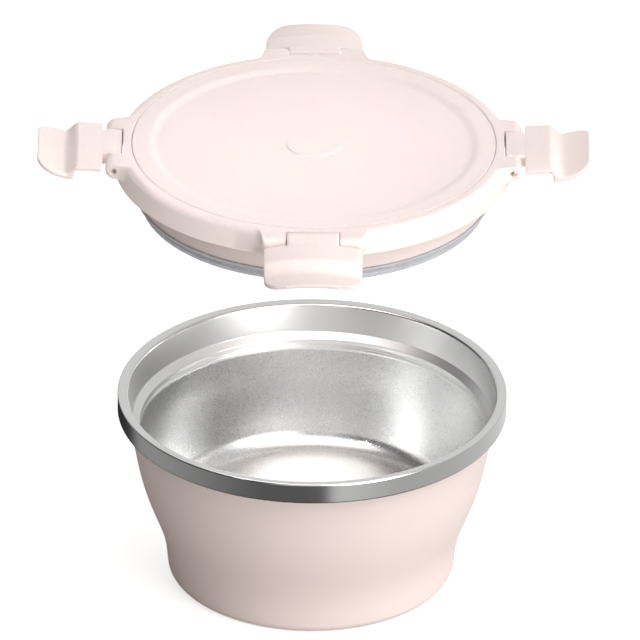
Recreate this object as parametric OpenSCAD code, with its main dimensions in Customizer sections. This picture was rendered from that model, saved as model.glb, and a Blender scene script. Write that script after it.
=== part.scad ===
// Insulated stainless steel bowl with a lift-off lid held by four hinged clips.
// Heights inside the bowl are measured down from the rim, or up from the table.
// The lid is drawn lifted straight up off the bowl, with its clips standing open.

/* [Bowl rim] */
// Diameter over the bare steel band
rim_d = 170; // [150:1:200]
// Height of the rim above the table
bowl_h = 86.6; // [78:0.2:100]
// Thickness of the sheet steel
sheet_t = 0.6; // [0.4:0.05:0.8]
// Width of the rolled lip, from the mouth to the face of the band
lip_w = 4.4; // [4:0.1:6]
// Radius of the lip's two top edges
lip_round = 1.4; // [1:0.1:1.9]
// Height of the band
band_h = 9.4; // [7:0.1:12]
// Radius of the band's lower edge
band_round = 0.7; // [0.6:0.05:1.5]

/* [Bowl inside] */
// Depth of the tapered mouth, from the rim to the ledge
mouth_depth = 12.8; // [11:0.1:15]
// How far the mouth narrows on the way down
mouth_taper = 2.4; // [1.5:0.1:3]
// Height of the sloping ledge
ledge_h = 2.5; // [1.5:0.1:4]
// Width of the sloping ledge
ledge_w = 3; // [2:0.1:4]
// Height of the upright land that the seal wipes
land_h = 5; // [4:0.1:8]
// Depth of the floor below the rim
inner_depth = 62.5; // [55:0.5:66]
// Radius between the wall and the floor
floor_round = 10.8; // [6:0.2:12]

/* [Bowl outside] */
// How far the band stands out from the coated wall
band_stand = 4.4; // [4.2:0.1:5]
// Depth below the rim at which the wall starts to draw in
bend_depth = 42.5; // [38:0.5:46]
// How far the wall narrows from the band to that bend
bend_in = 6.1; // [4:0.1:8]
// Radius of that bend
bend_round = 120; // [60:5:130]
// Height of the waist above the table
waist_z = 17.8; // [15:0.2:20]
// How far the wall narrows from the bend to the waist
waist_in = 10.2; // [8:0.1:12]
// Radius of the hollow at the waist
waist_round = 60; // [30:5:60]
// How far the foot narrows from the waist to the table
foot_in = 1.9; // [0.5:0.1:3]
// Radius of the foot's lower edge
foot_round = 4.2; // [2:0.1:5]
// Width of the flat ring that the bowl stands on
rest_w = 4.2; // [2:0.1:8]
// Distance between the outer faces of the inner and outer walls
wall_gap = 3.4; // [3:0.1:4]

/* [Base] */
// Height of the welded bottom above the table
bottom_z = 8; // [6:0.2:10]
// Depth of the welded bottom's rim
bottom_rim_h = 3.7; // [2.4:0.1:4.2]
// Radius of the welded bottom's edge
bottom_round = 2; // [1.5:0.1:3]
// Height of the recessed base cover above the table
cover_z = 1.5; // [0.8:0.1:2.4]
// Height of the base cover's rim
cover_rim_h = 2.6; // [2:0.1:3.5]
// Radius of the base cover's edge
cover_round = 1.2; // [0.9:0.1:1.6]
// Height of the turned-in hem that the cover is pressed into
hem_h = 3.6; // [3:0.1:4.5]
// Diameter of the hole through which the air is drawn out
port_d = 3; // [2:0.1:4]
// Diameter of the dimple round that hole
dimple_d = 16; // [12:0.5:22]
// Depth of the dimple
dimple_h = 1.4; // [1:0.1:2]
// Diameter of the sealing bead in the dimple
bead_d = 9; // [7:0.5:11]
// Diameter of the getter pellet
getter_d = 10; // [6:0.5:14]
// Thickness of the getter pellet
getter_h = 2.4; // [1.5:0.1:4]
// Distance of the getter pellet from the centre
getter_offset = 28; // [20:1:36]
// Width of the strap that holds the getter pellet
strap_w = 4; // [3:0.2:6]
// Length of the strap
strap_l = 22; // [18:0.5:26]

/* [Lid ring and panel] */
// Height of the lid above its seat in the lifted pose
lid_raise = 111.9; // [90:0.1:140]
// Gap between the ring and the rim when the lid is on
ring_gap = 0.5; // [0.3:0.1:1.5]
// How far the ring reaches past the band
ring_stand = 1.5; // [1:0.1:2.5]
// Height of the ring
ring_h = 10.3; // [9.5:0.1:12]
// How far the ring's side leans in from its foot to its top
ring_lean = 2.4; // [1.5:0.1:3]
// Radius of the ring's shoulder
ring_shoulder = 3.2; // [2:0.1:3.6]
// Thickness of the ring's walls
ring_wall = 2; // [1.6:0.1:2.2]
// Thickness of the ring's top
ring_top_t = 3; // [2.8:0.1:4]
// Width of the ring, from its foot to the joint with the panel
ring_w = 7.45; // [7.2:0.05:9]
// Width of the ledge that carries the panel
panel_ledge = 2.15; // [1.8:0.05:3]
// Width of the hairline joint round the panel
panel_gap = 0.3; // [0.2:0.05:0.5]
// Thickness of the panel
panel_t = 2; // [1.8:0.1:2.4]
// Radius of the edges beside the hairline joint
joint_round = 0.4; // [0.2:0.05:0.6]
// Width of the panel's raised border
border_w = 7.35; // [5:0.05:10]
// Width of the slope inside the border
slope_w = 3.4; // [2:0.1:5]
// Depth of the panel's dished middle
dish_h = 1.2; // [0.5:0.1:1.6]
// Diameter of the round cap in the middle
cap_d = 23.8; // [18:0.2:30]
// Height of the cap above the panel
cap_h = 1.1; // [0.8:0.1:2]
// Radius of the cap's top edge
cap_round = 0.6; // [0.3:0.1:0.7]
// Diameter of the cap's stem
stem_d = 10; // [8:0.5:14]
// Length of the cap's stem below the panel
stem_l = 2.4; // [1.5:0.1:4]
// Height of the snap bead on the stem
snap_h = 1; // [0.8:0.1:1.4]
// How far the snap bead stands out
snap_out = 0.5; // [0.3:0.1:0.8]

/* [Lid plug and seal] */
// Gap between the mouth and the plug's skirt
skirt_gap = 3.6; // [3.2:0.1:4.5]
// How far the skirt narrows on the way down
skirt_taper = 0.4; // [0.2:0.1:0.8]
// Depth of the skirt below the rim
skirt_depth = 11.3; // [10:0.1:11.8]
// Thickness of the plug's walls
plug_wall = 1.6; // [1.4:0.1:1.8]
// Width of the plug's welded flange outside its skirt
flange_w = 3; // [2.4:0.1:3]
// Height of the flange's lower face above the rim
flange_z = 0.6; // [0.5:0.1:1]
// Thickness of the flange
flange_t = 2; // [1.6:0.1:2.4]
// Depth of the groove that holds the seal
groove_depth = 4; // [3:0.1:4.4]
// Height of the groove
groove_h = 3.8; // [3.2:0.1:4.2]
// How far the lip under the groove stands out
keep_w = 1.4; // [0.8:0.1:1.4]
// Clearance of the seal from its groove and from the land
seal_clear = 0.3; // [0.3:0.05:0.5]
// Fit of the seal in its groove
groove_fit = 0.1; // [0.05:0.05:0.2]
// Thickness of the seal's upper fin
fin_t = 0.9; // [0.7:0.1:1.2]
// How far the upper fin reaches past the skirt
fin_out = 0.9; // [0.5:0.1:1]
// Thickness of the seal's lower fin
low_fin_t = 0.8; // [0.6:0.1:0.9]
// Length of the lower fin below the plug
low_fin_l = 0.6; // [0.3:0.1:1]
// Gap round the foam core
core_gap = 0.5; // [0.3:0.1:1]

/* [Clips and hinges] */
// Distance of the hinge line outside the band
hinge_out = 1.5; // [1.4:0.05:2]
// Diameter of the hinge pin
pin_d = 2.4; // [2:0.1:3]
// Radial play of the pin in the clip
pin_play = 0.06; // [0.04:0.01:0.09]
// Radial play of the pin in the ears
pin_grip = 0.02; // [0.01:0.01:0.03]
// Depth at which the pin's ends lie inside the ears
pin_sink = 0.8; // [0.4:0.1:1.5]
// Radial clearance round the pin's sunk ends
sink_play = 0.3; // [0.2:0.05:0.5]
// Diameter of the hinge barrel and of the ears
barrel_d = 7.2; // [6.6:0.1:8]
// Clearance round the barrel in its slot
barrel_gap = 0.4; // [0.3:0.05:0.8]
// Width of a hinge boss on the ring
boss_w = 44; // [42:0.5:48]
// Radius of the boss's outer corners
boss_corner = 2.5; // [1:0.1:4]
// Radius between the boss and the ring
boss_fillet = 8; // [4:0.5:12]
// Width of the clip's hinge tongue
tongue_w = 22.5; // [18:0.5:26]
// Gap on each side of the tongue
side_gap = 0.4; // [0.3:0.05:0.8]
// Half-width of the squared heel that stops the clip a little past level
heel = 3.15; // [2.9:0.05:3.2]
// How far the tongue reaches inside the hinge line
tongue_back = 1.5; // [1.2:0.1:2]
// How far the clip's sides lie inside the boss's ends
clip_inset = 0.8; // [0:0.1:3]
// How far the finger tab's sides lie inside the clip's sides
tab_inset = 1; // [0:0.1:3]
// Thickness of the clip
clip_t = 2.1; // [1.6:0.1:2.1]
// Thickness of the finger tab
tab_t = 2; // [1.5:0.1:2.2]
// Distance from the hinge line to the clip's edge
clip_edge = 5; // [4.6:0.1:6]
// Length of the clip from the hinge line to its tip
clip_l = 33.2; // [30:0.2:38]
// Angle by which the front clip hangs below level
front_hang = 7; // [0:0.5:15]
// Angle by which the back clip hangs below level
back_hang = 4; // [0:0.5:15]
// Angle by which the left and right clips stand above level
side_rise = 3; // [0:0.5:10]
// How far the clip's hook reaches under the band
bite = 1.3; // [0.8:0.1:2]
// Gap between the hook and the band when closed
catch_gap = 0.3; // [0.3:0.05:0.6]
// Length of the slope outside the hook
step_l = 4.2; // [3:0.1:5]
// How far the slope starts before the hook's face
step_lead = 0.5; // [0:0.1:1]
// How far the finger tab flares out towards its tip
flare = 2.9; // [1.5:0.1:4]
// Radius of the bends in the clip
clip_bend = 3; // [2:0.1:3.4]
// Radius inside the hook
hook_round = 0.8; // [0.4:0.1:1.2]
// Radius of the finger tab's corners
tab_corner = 8.5; // [5:0.5:11]
// Radius of the clip's edge corners
clip_corner = 1; // [0.5:0.1:2]
// Radius of the tip's rounded edge
tip_round = 0.8; // [0.4:0.1:0.9]

/* [Hidden] */
$fn = 96;
// Angle spanned by one facet of a rounded corner in a profile
arc_step = 9;
// Overrun that carries every cut clear of the solid it cuts
overrun = 1;
// Slide fit between pressed steel pieces
press_gap = 0.05;
steel_color = "#c9cac8";
coat_color = "#efdfdb";
moulded_color = "#f7e7e3";
seal_color = "#c4c7cd";
core_color = "#f4f1ea";
bead_color = "#4a4f55";

rim_r = rim_d / 2;
mouth_r = rim_r - lip_w;
ledge_r = mouth_r - mouth_taper;
land_r = ledge_r - ledge_w;
land_z = bowl_h - mouth_depth - ledge_h;
floor_z = bowl_h - inner_depth;

neck_r = rim_r - band_stand;
bend_r = neck_r - bend_in;
bend_z = bowl_h - bend_depth;
waist_r = bend_r - waist_in;
foot_r = waist_r - foot_in;
rest_r = foot_r - foot_round - rest_w;

// Radius of the coated wall's straight stretch between bend and waist
function wall_r(z) = bend_r - waist_in * (bend_z - z) / (bend_z - waist_z);
// Radius of the coated wall's foot
function foot_wall_r(z) = foot_r + foot_in * z / waist_z;

ring_z = ring_gap;
ring_top = ring_z + ring_h;
ring_r = rim_r + ring_stand;
joint_r = ring_r - ring_w;
panel_r = joint_r - panel_gap;
panel_z = ring_top - panel_t;
leg_r = joint_r - panel_ledge;
dish_z = ring_top - dish_h;
border_r = panel_r - border_w;
skirt_r = mouth_r - skirt_gap;
groove_r = skirt_r - skirt_taper - groove_depth;
keep_z = -skirt_depth - groove_h;
plug_z = keep_z - plug_wall;
seal_r = land_r - seal_clear;

barrel_r = barrel_d / 2;
clip_w = boss_w - 2 * clip_inset;
tab_w = clip_w - 2 * tab_inset;
pin_r = rim_r + hinge_out;
pin_z = ring_top - barrel_r;
slot_w = tongue_w + 2 * side_gap;
hook_z = -band_h - catch_gap;
hook_drop = pin_z - hook_z;
clip_out_r = pin_r + barrel_r;
clip_in_r = clip_out_r - clip_t;
tab_in_r = rim_r - bite;
tab_out_r = tab_in_r + tab_t;

function unit(v) = v / norm(v);
function cross_z(a, b) = a[0] * b[1] - a[1] * b[0];
function flat(q) = [q[0], q[1]];

// Arc that rounds the corner q, whose third number is the radius, between p and s.
// The radius is limited so that the arc takes no more than half of either side.
function corner_arc(p, q, s) =
    let (side_p = flat(p) - flat(q),
         side_s = flat(s) - flat(q),
         to_p = unit(side_p),
         to_s = unit(side_s),
         half = acos(to_p * to_s) / 2,
         radius = min(q[2], min(norm(side_p), norm(side_s)) / 2 * tan(half)),
         centre = flat(q) + unit(to_p + to_s) * radius / sin(half),
         start = flat(q) + to_p * radius / tan(half) - centre,
         first = atan2(start[1], start[0]),
         sweep = (180 - 2 * half) * sign(cross_z(-to_p, to_s)),
         steps = max(2, ceil(abs(sweep) / arc_step)))
    [for (i = [0 : steps]) centre + radius * [cos(first + sweep * i / steps), sin(first + sweep * i / steps)]];

// Path through corners [r, z] or [r, z, radius], with each corner that has a radius rounded
function rounded(path) =
    [for (i = [0 : len(path) - 1])
        each (i > 0 && i < len(path) - 1 && len(path[i]) == 3
              ? corner_arc(path[i - 1], path[i], path[i + 1])
              : [flat(path[i])])];

// Unit vector to the right of the direction of travel from a to b
function right_of(a, b) = let (d = unit(b - a)) [d[1], -d[0]];

// Path moved sideways to its right by a distance, with mitred corners
function beside(path, distance) =
    [for (i = [0 : len(path) - 1])
        let (before = right_of(path[max(i - 1, 0)], path[max(i, 1)]),
             after = right_of(path[min(i, len(path) - 2)], path[min(i + 1, len(path) - 1)]),
             middle = unit(before + after))
        path[i] + middle * distance / (middle * before)];

function reversed(list) = [for (i = [len(list) - 1 : -1 : 0]) list[i]];

// Solid of revolution of a sheet whose visible face follows the path
module spun_sheet(path, thickness) {
    face = rounded(path);
    rotate_extrude() polygon(concat(face, reversed(beside(face, thickness))));
}

// Solid of revolution of a closed profile
module spun(path) {
    rotate_extrude() polygon(rounded(path));
}

// Moves the lid's pieces from their seat on the rim to the lifted pose
module lifted() {
    translate([0, 0, bowl_h + lid_raise]) children();
}

// Quarter turns that carry the right-hand clip to each side
function side_turn(side) = side == "right" ? 0 : side == "back" ? 90 : side == "left" ? 180 : 270;

// Drawn steel liner whose mouth rolls over into the bare band
module inner_liner() {
    inner_bend_r = bend_r - wall_gap;
    floor_corner_r = wall_r(floor_z) - wall_gap;
    lip_end_r = neck_r + sheet_t;
    color(steel_color) spun_sheet([
        [0, floor_z],
        [floor_corner_r, floor_z, floor_round],
        [inner_bend_r, bend_z, bend_round],
        [land_r, land_z - land_h],
        [land_r, land_z],
        [ledge_r, bowl_h - mouth_depth],
        [mouth_r, bowl_h, lip_round],
        [rim_r, bowl_h, lip_round],
        [rim_r, bowl_h - band_h, band_round],
        [lip_end_r, bowl_h - band_h]], sheet_t);
}

// Coated outer wall from the neck inside the band to the turned-in hem under the foot
module outer_shell() {
    neck_top_r = mouth_r + lip_round + sheet_t;
    color(coat_color) spun_sheet([
        [neck_top_r, bowl_h - sheet_t],
        [neck_top_r, bowl_h - sheet_t - lip_round],
        [neck_r, bowl_h - band_h],
        [bend_r, bend_z, bend_round],
        [waist_r, waist_z, waist_round],
        [foot_r, 0, foot_round],
        [rest_r, 0],
        [rest_r, hem_h]], sheet_t);
}

// Bottom welded inside the foot, with a dimpled port for drawing out the air
module outer_bottom() {
    top = bottom_z + sheet_t;
    edge_r = foot_wall_r(top) - sheet_t - press_gap;
    rim_end = bottom_z - bottom_rim_h;
    color(steel_color) spun_sheet([
        [port_d / 2, top + dimple_h],
        [dimple_d / 2 - dimple_h, top + dimple_h],
        [dimple_d / 2, top],
        [edge_r, top, bottom_round],
        [foot_wall_r(rim_end) - sheet_t - press_gap, rim_end]], sheet_t);
}

// Bead that closes the port, with a stem in the hole
module vacuum_seal() {
    ceiling = bottom_z + dimple_h;
    color(bead_color) spun([
        [0, bottom_z],
        [bead_d / 2, bottom_z, dimple_h / 2],
        [bead_d / 2, ceiling],
        [port_d / 2, ceiling],
        [port_d / 2, ceiling + sheet_t],
        [0, ceiling + sheet_t]]);
}

// Getter pellet under its spot-welded strap, in the vacuum space
module getter() {
    base = bottom_z + sheet_t;
    leg_y = getter_d / 2 + press_gap;
    color(bead_color) translate([getter_offset, 0, base]) cylinder(d = getter_d, h = getter_h);
    color(steel_color) translate([getter_offset, 0, base]) {
        translate([-strap_w / 2, -leg_y - sheet_t, getter_h])
            cube([strap_w, 2 * (leg_y + sheet_t), sheet_t]);
        for (turn = [0, 180]) rotate([0, 0, turn]) {
            translate([-strap_w / 2, leg_y, 0]) cube([strap_w, sheet_t, getter_h]);
            translate([-strap_w / 2, leg_y, 0]) cube([strap_w, strap_l / 2 - leg_y, sheet_t]);
        }
    }
}

// Pressed cover that hides the port
module base_cover() {
    edge_r = rest_r - press_gap;
    color(steel_color) spun_sheet([
        [edge_r, cover_z + cover_rim_h],
        [edge_r, cover_z, cover_round],
        [0, cover_z]], sheet_t);
}

// Outline of the lid ring, filled to the axis
module ring_envelope() {
    spun([
        [0, ring_z],
        [ring_r, ring_z],
        [ring_r - ring_lean, ring_top, ring_shoulder],
        [0, ring_top]]);
}

// Plan of a hinge boss, with rounded corners and fillets to the ring
module boss_plan() {
    half = boss_w / 2;
    body_r = ring_r - ring_lean / 2;
    meet = [sqrt(pow(body_r, 2) - pow(half, 2)), half];
    centre = [sqrt(pow(body_r + boss_fillet, 2) - pow(half + boss_fillet, 2)), half + boss_fillet];
    polygon(rounded([
        [leg_r, -half],
        [clip_out_r, -half, boss_corner],
        [clip_out_r, half, boss_corner],
        [leg_r, half]]));
    for (side = [-1, 1]) scale([1, side, 1]) difference() {
        polygon([meet, [centre[0], half], centre, centre * body_r / norm(centre)]);
        translate(centre) circle(r = boss_fillet);
    }
}

// Hinge boss on the right-hand side, still without its slot
module boss() {
    wall_in = pin_r - barrel_r - barrel_gap - ring_wall;
    intersection() {
        translate([0, 0, ring_z]) linear_extrude(ring_h) boss_plan();
        rotate([90, 0, 0]) linear_extrude(boss_w + 2 * boss_fillet, center = true) union() {
            translate([wall_in, pin_z - barrel_r]) square([pin_r - wall_in, barrel_d]);
            translate([pin_r, pin_z]) circle(r = barrel_r);
        }
    }
    intersection() {
        ring_envelope();
        translate([wall_in, -slot_w / 2 - ring_wall, ring_z])
            cube([ring_w + ring_stand, slot_w + 2 * ring_wall, ring_h]);
    }
}

// Slot for the clip's tongue and the drilling for the hinge pin, on the right-hand side
module boss_cuts() {
    translate([pin_r - barrel_r - barrel_gap, -slot_w / 2, ring_z - overrun])
        cube([2 * barrel_d, slot_w, ring_h + 2 * overrun]);
    translate([pin_r, 0, pin_z]) rotate([90, 0, 0]) {
        cylinder(r = pin_d / 2 + pin_grip, h = boss_w + 2 * overrun, center = true);
        for (side = [-1, 1])
            translate([0, 0, side * boss_w / 2])
                cylinder(r = pin_d / 2 + sink_play, h = 2 * pin_sink, center = true);
    }
}

// Moulded ring with four hinge bosses
module lid_ring() {
    web_z = ring_top - ring_top_t;
    color(moulded_color) lifted() difference() {
        union() {
            spun([
                [ring_r, ring_z],
                [ring_r - ring_lean, ring_top, ring_shoulder],
                [joint_r, ring_top, joint_round],
                [joint_r, panel_z],
                [leg_r, panel_z],
                [leg_r, flange_z + flange_t],
                [leg_r + ring_wall, flange_z + flange_t],
                [leg_r + ring_wall, web_z],
                [ring_r - ring_lean - ring_wall, web_z, ring_shoulder - ring_wall],
                [ring_r - ring_wall, ring_z]]);
            for (turn = [0 : 90 : 270]) rotate([0, 0, turn]) boss();
        }
        for (turn = [0 : 90 : 270]) rotate([0, 0, turn]) boss_cuts();
    }
}

// Dished top panel with a hole for the cap's stem
module lid_panel() {
    hole_r = stem_d / 2 + groove_fit;
    color(moulded_color) lifted() spun([
        [hole_r, dish_z],
        [border_r - slope_w, dish_z],
        [border_r, ring_top],
        [panel_r, ring_top, joint_round],
        [panel_r, panel_z],
        [border_r, panel_z],
        [border_r - slope_w, panel_z - dish_h],
        [hole_r, panel_z - dish_h]]);
}

// Round cap snapped into the middle of the panel
module centre_cap() {
    below = panel_z - dish_h;
    snap_r = stem_d / 2 + snap_out;
    color(moulded_color) lifted() spun([
        [0, dish_z + cap_h],
        [cap_d / 2, dish_z + cap_h, cap_round],
        [cap_d / 2, dish_z],
        [stem_d / 2, dish_z],
        [stem_d / 2, below - snap_out / 2],
        [snap_r, below - snap_out],
        [stem_d / 2, below - snap_out - snap_h],
        [stem_d / 2, below - stem_l],
        [0, below - stem_l]]);
}

// Foam core that fills the lid, with a well for the cap's stem
module lid_core() {
    core_top = panel_z - dish_h - core_gap;
    core_r = groove_r - plug_wall - core_gap;
    well_r = stem_d / 2 + snap_out + core_gap;
    color(core_color) lifted() spun([
        [0, keep_z],
        [core_r, keep_z],
        [core_r, core_top],
        [well_r, core_top],
        [well_r, core_top - stem_l],
        [0, core_top - stem_l]]);
}

// Moulded plug that closes the underside of the lid and carries the seal
module lid_plug() {
    skirt_foot_r = skirt_r - skirt_taper;
    flange_top = flange_z + flange_t;
    color(moulded_color) lifted() spun([
        [skirt_r + flange_w, flange_top],
        [skirt_r + flange_w, flange_z],
        [skirt_r, flange_z],
        [skirt_foot_r, -skirt_depth],
        [groove_r, -skirt_depth],
        [groove_r, keep_z],
        [groove_r + keep_w, keep_z],
        [groove_r + keep_w, plug_z],
        [0, plug_z],
        [0, keep_z],
        [groove_r - plug_wall, keep_z],
        [groove_r - plug_wall, -skirt_depth + plug_wall],
        [skirt_foot_r - plug_wall, -skirt_depth + plug_wall],
        [skirt_r - plug_wall, flange_top]]);
}

// Silicone seal with one fin over the ledge and one against the land
module lid_seal() {
    top = -skirt_depth - groove_fit;
    skirt_foot_r = skirt_r - skirt_taper;
    low_r = seal_r - low_fin_t;
    color(seal_color) lifted() spun([
        [groove_r + groove_fit, top],
        [skirt_foot_r + fin_out, top, fin_t / 2],
        [skirt_foot_r + fin_out, top - fin_t],
        [seal_r - low_fin_t / 2, top - 2 * fin_t],
        [seal_r - low_fin_t / 2, keep_z + groove_fit],
        [seal_r, keep_z - plug_wall / 2],
        [seal_r, plug_z - low_fin_l],
        [low_r, plug_z - low_fin_l],
        [low_r, keep_z + groove_fit],
        [groove_r + groove_fit, keep_z + groove_fit]]);
}

// Steel pin along a hinge line
module hinge_pin(side) {
    color(steel_color) lifted() rotate([0, 0, side_turn(side)])
        translate([pin_r, 0, pin_z]) rotate([90, 0, 0])
            cylinder(d = pin_d, h = boss_w - 2 * pin_sink, center = true);
}

// Section of the clip's plate, hook and finger tab, closed, at true height
module clip_section() {
    step_z = hook_z + step_lead;
    tip_z = pin_z - clip_l;
    tip_out_r = tab_out_r + flare;
    polygon(rounded([
        [clip_in_r, pin_z - clip_edge],
        [clip_out_r, pin_z - clip_edge],
        [clip_out_r, step_z, clip_bend],
        [tab_out_r, step_z - step_l, clip_bend],
        [tip_out_r, tip_z, tip_round],
        [tip_out_r - tab_t, tip_z, tip_round],
        [tab_in_r, step_z - step_l, clip_bend],
        [tab_in_r, hook_z],
        [clip_in_r, hook_z, hook_round],
        [clip_in_r, pin_z - clip_edge]]));
}

// Outline of the closed clip, seen from outside
module clip_outline() {
    half = clip_w / 2;
    tab_half = tab_w / 2;
    edge_z = pin_z - clip_edge;
    tip_z = pin_z - clip_l;
    polygon(rounded([
        [0, edge_z],
        [half, edge_z, clip_corner],
        [half, hook_z, clip_corner],
        [tab_half, tip_z, tab_corner],
        [-tab_half, tip_z, tab_corner],
        [-half, hook_z, clip_corner],
        [-half, edge_z, clip_corner],
        [0, edge_z]]));
}

// Clip as it lies closed on the right-hand side
module closed_clip() {
    tongue_z = pin_z - clip_edge - overrun;
    difference() {
        union() {
            intersection() {
                rotate_extrude() clip_section();
                rotate([90, 0, 90]) linear_extrude(clip_out_r + flare) clip_outline();
            }
            intersection() {
                rotate_extrude() translate([pin_r - tongue_back, tongue_z])
                    square([barrel_r + tongue_back, pin_z - tongue_z]);
                translate([0, -tongue_w / 2, tongue_z])
                    cube([clip_out_r, tongue_w, pin_z - tongue_z]);
            }
            translate([pin_r, 0, pin_z]) rotate([90, 0, 0])
                cylinder(r = barrel_r, h = tongue_w, center = true);
            translate([pin_r, -tongue_w / 2, pin_z]) cube([heel, tongue_w, heel]);
        }
        translate([pin_r, 0, pin_z]) rotate([90, 0, 0])
            cylinder(r = pin_d / 2 + pin_play, h = tongue_w + 2 * overrun, center = true);
    }
}

// Angle by which an open clip hangs below level
function hang(side) = side == "front" ? front_hang : side == "back" ? back_hang : -side_rise;

// Clip swung open to stand nearly level with the lid
module clip(side) {
    color(moulded_color) lifted() rotate([0, 0, side_turn(side)])
        translate([pin_r, 0, pin_z]) rotate([0, hang(side) - 90, 0]) translate([-pin_r, 0, -pin_z])
            closed_clip();
}

inner_liner();
outer_shell();
outer_bottom();
vacuum_seal();
getter();
base_cover();
lid_ring();
lid_panel();
centre_cap();
lid_core();
lid_plug();
lid_seal();
hinge_pin("front");  // hinge_pin_front
hinge_pin("back");  // hinge_pin_back
hinge_pin("left");  // hinge_pin_left
hinge_pin("right");  // hinge_pin_right
clip("front");  // clip_front
clip("back");  // clip_back
clip("left");  // clip_left
clip("right");  // clip_right
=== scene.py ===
"""Dresses the insulated bowl and its lift-off lid: meshes, finishes, studio and camera."""

import logging
import math
from dataclasses import dataclass, field
from enum import Enum
from functools import partial
from typing import Any, Callable, Iterable, Sequence

import bmesh
import bpy
import numpy as np
from mathutils import Matrix, Vector


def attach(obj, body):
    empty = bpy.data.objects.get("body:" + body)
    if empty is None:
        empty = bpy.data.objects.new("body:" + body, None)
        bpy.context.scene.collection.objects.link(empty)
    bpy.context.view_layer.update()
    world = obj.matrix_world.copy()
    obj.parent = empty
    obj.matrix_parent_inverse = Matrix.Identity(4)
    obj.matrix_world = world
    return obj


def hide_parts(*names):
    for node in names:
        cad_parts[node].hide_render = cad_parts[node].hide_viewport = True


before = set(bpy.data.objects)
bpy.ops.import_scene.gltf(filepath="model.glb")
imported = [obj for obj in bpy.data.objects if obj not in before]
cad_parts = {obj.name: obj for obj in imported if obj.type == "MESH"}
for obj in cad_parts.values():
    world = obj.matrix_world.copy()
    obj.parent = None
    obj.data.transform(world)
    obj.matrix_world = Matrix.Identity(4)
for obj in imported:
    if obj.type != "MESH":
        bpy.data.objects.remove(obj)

LOG = logging.getLogger("bowl")
MM = 0.001
# Steps about the axis of a turned piece.
AROUND = 256
# Longest angle, and longest chord in millimetres, of a step round a corner.
ARC_STEP = math.radians(9.0)
ARC_CHORD = 0.9
# Longest step along a section, and the distance of the points that hold its bends.
STEP = 3.0
HOLD = 0.25
# Radii below this, in millimetres, lie on the axis.
ON_AXIS = 1e-6
# The middle of a noise's values, where most of them lie.
MIDDLE = {"From Min": 0.3, "From Max": 0.7}
WHITE = (1.0, 1.0, 1.0, 1.0)

Array = np.ndarray
# A corner of an outline: (r, z), or (r, z, radius of its rounding), in millimetres.
Corner = tuple[float, ...]
Point = tuple[float, float, float]
Piece = bpy.types.Object
Material = bpy.types.Material
Tree = bpy.types.NodeTree
Node = bpy.types.Node
Socket = bpy.types.NodeSocket
Adder = Callable[..., Node]


class Side(Enum):
    """Sides of the lid: quarter turns from the right, and degrees by which the clip hangs."""

    RIGHT = (0, -3.0)
    BACK = (1, 4.0)
    LEFT = (2, -3.0)
    FRONT = (3, 7.0)

    @property
    def label(self) -> str:
        """Name used in the nodes' names."""
        return self.name.lower()

    @property
    def hang(self) -> float:
        """Angle by which the open clip hangs below level, in radians."""
        return math.radians(self.value[1])

    def turn(self, rows: int) -> Matrix:
        """Rotation about the lid's axis from the right-hand side, with 3 or 4 rows."""
        return Matrix.Rotation(self.value[0] * math.pi / 2, rows, "Z")


class Band(Enum):
    """Zones of the liner, which are finished differently."""

    INSIDE = 0
    MOUTH = 1
    RIM = 2


def corner_arc(before: Array, corner: Corner, after: Array) -> Array:
    """Rounds one corner of an outline.

    The arc touches both sides; its centre lies on the corner's bisector at radius / sin(half
    angle), and its points are centre + radius (cos a, sin a).

    Args:
        before: The point before the corner.
        corner: The corner's two coordinates and its radius.
        after: The point after the corner.

    Returns:
        Points of the arc, one per row.
    """
    at = np.array(corner[:2])
    side_a, side_b = before - at, after - at
    len_a, len_b = np.linalg.norm(side_a), np.linalg.norm(side_b)
    to_a, to_b = side_a / len_a, side_b / len_b
    half = math.acos(float(np.clip(to_a @ to_b, -1, 1))) / 2
    radius = min(corner[2], min(len_a, len_b) / 2 * math.tan(half))
    bisector = (to_a + to_b) / np.linalg.norm(to_a + to_b)
    centre = at + bisector * radius / math.sin(half)
    start = at + to_a * radius / math.tan(half) - centre
    first = math.atan2(start[1], start[0])
    turn = -to_a[0] * to_b[1] + to_a[1] * to_b[0]
    sweep = (math.pi - 2 * half) * (1 if turn > 0 else -1)
    steps = max(2, math.ceil(abs(sweep) / ARC_STEP), math.ceil(abs(sweep) * radius / ARC_CHORD))
    return centre + radius * circle(first + sweep * np.linspace(0, 1, steps + 1))


def circle(angle: Array) -> Array:
    """Points (cos a, sin a) of the unit circle, one per row."""
    return np.stack([np.cos(angle), np.sin(angle)], axis=1)


def rounded(path: Sequence[Corner], closed: bool = False) -> Array:
    """Rounds each corner of an outline that carries a radius.

    Args:
        path: Its corners.
        closed: Whether the last corner joins the first.

    Returns:
        Points of the outline, one per row.
    """
    points: list[Array] = []
    last = len(path) - 1
    for i, corner in enumerate(path):
        inner = closed or 0 < i < last
        if inner and len(corner) == 3 and corner[2] > 0:
            after = path[(i + 1) % len(path)]
            points.append(corner_arc(np.array(path[i - 1][:2]), corner, np.array(after[:2])))
        else:
            points.append(np.array([corner[:2]], dtype=float))
    return np.concatenate(points)


def beside(path: Array, distance: float) -> Array:
    """Moves an open outline sideways to its right, with mitred corners.

    Each point moves along the mean of its two sides' normals by distance / cos(half turn).

    Args:
        path: Points of the outline.
        distance: How far each side moves, in millimetres.

    Returns:
        The moved outline, with as many points.
    """
    step = np.diff(path, axis=0)
    step /= np.linalg.norm(step, axis=1, keepdims=True)
    normal = np.stack([step[:, 1], -step[:, 0]], axis=1)
    before = np.vstack([normal[:1], normal])
    after = np.vstack([normal, normal[-1:]])
    middle = before + after
    middle /= np.linalg.norm(middle, axis=1, keepdims=True)
    return path + middle * distance / np.sum(middle * before, axis=1, keepdims=True)


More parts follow.
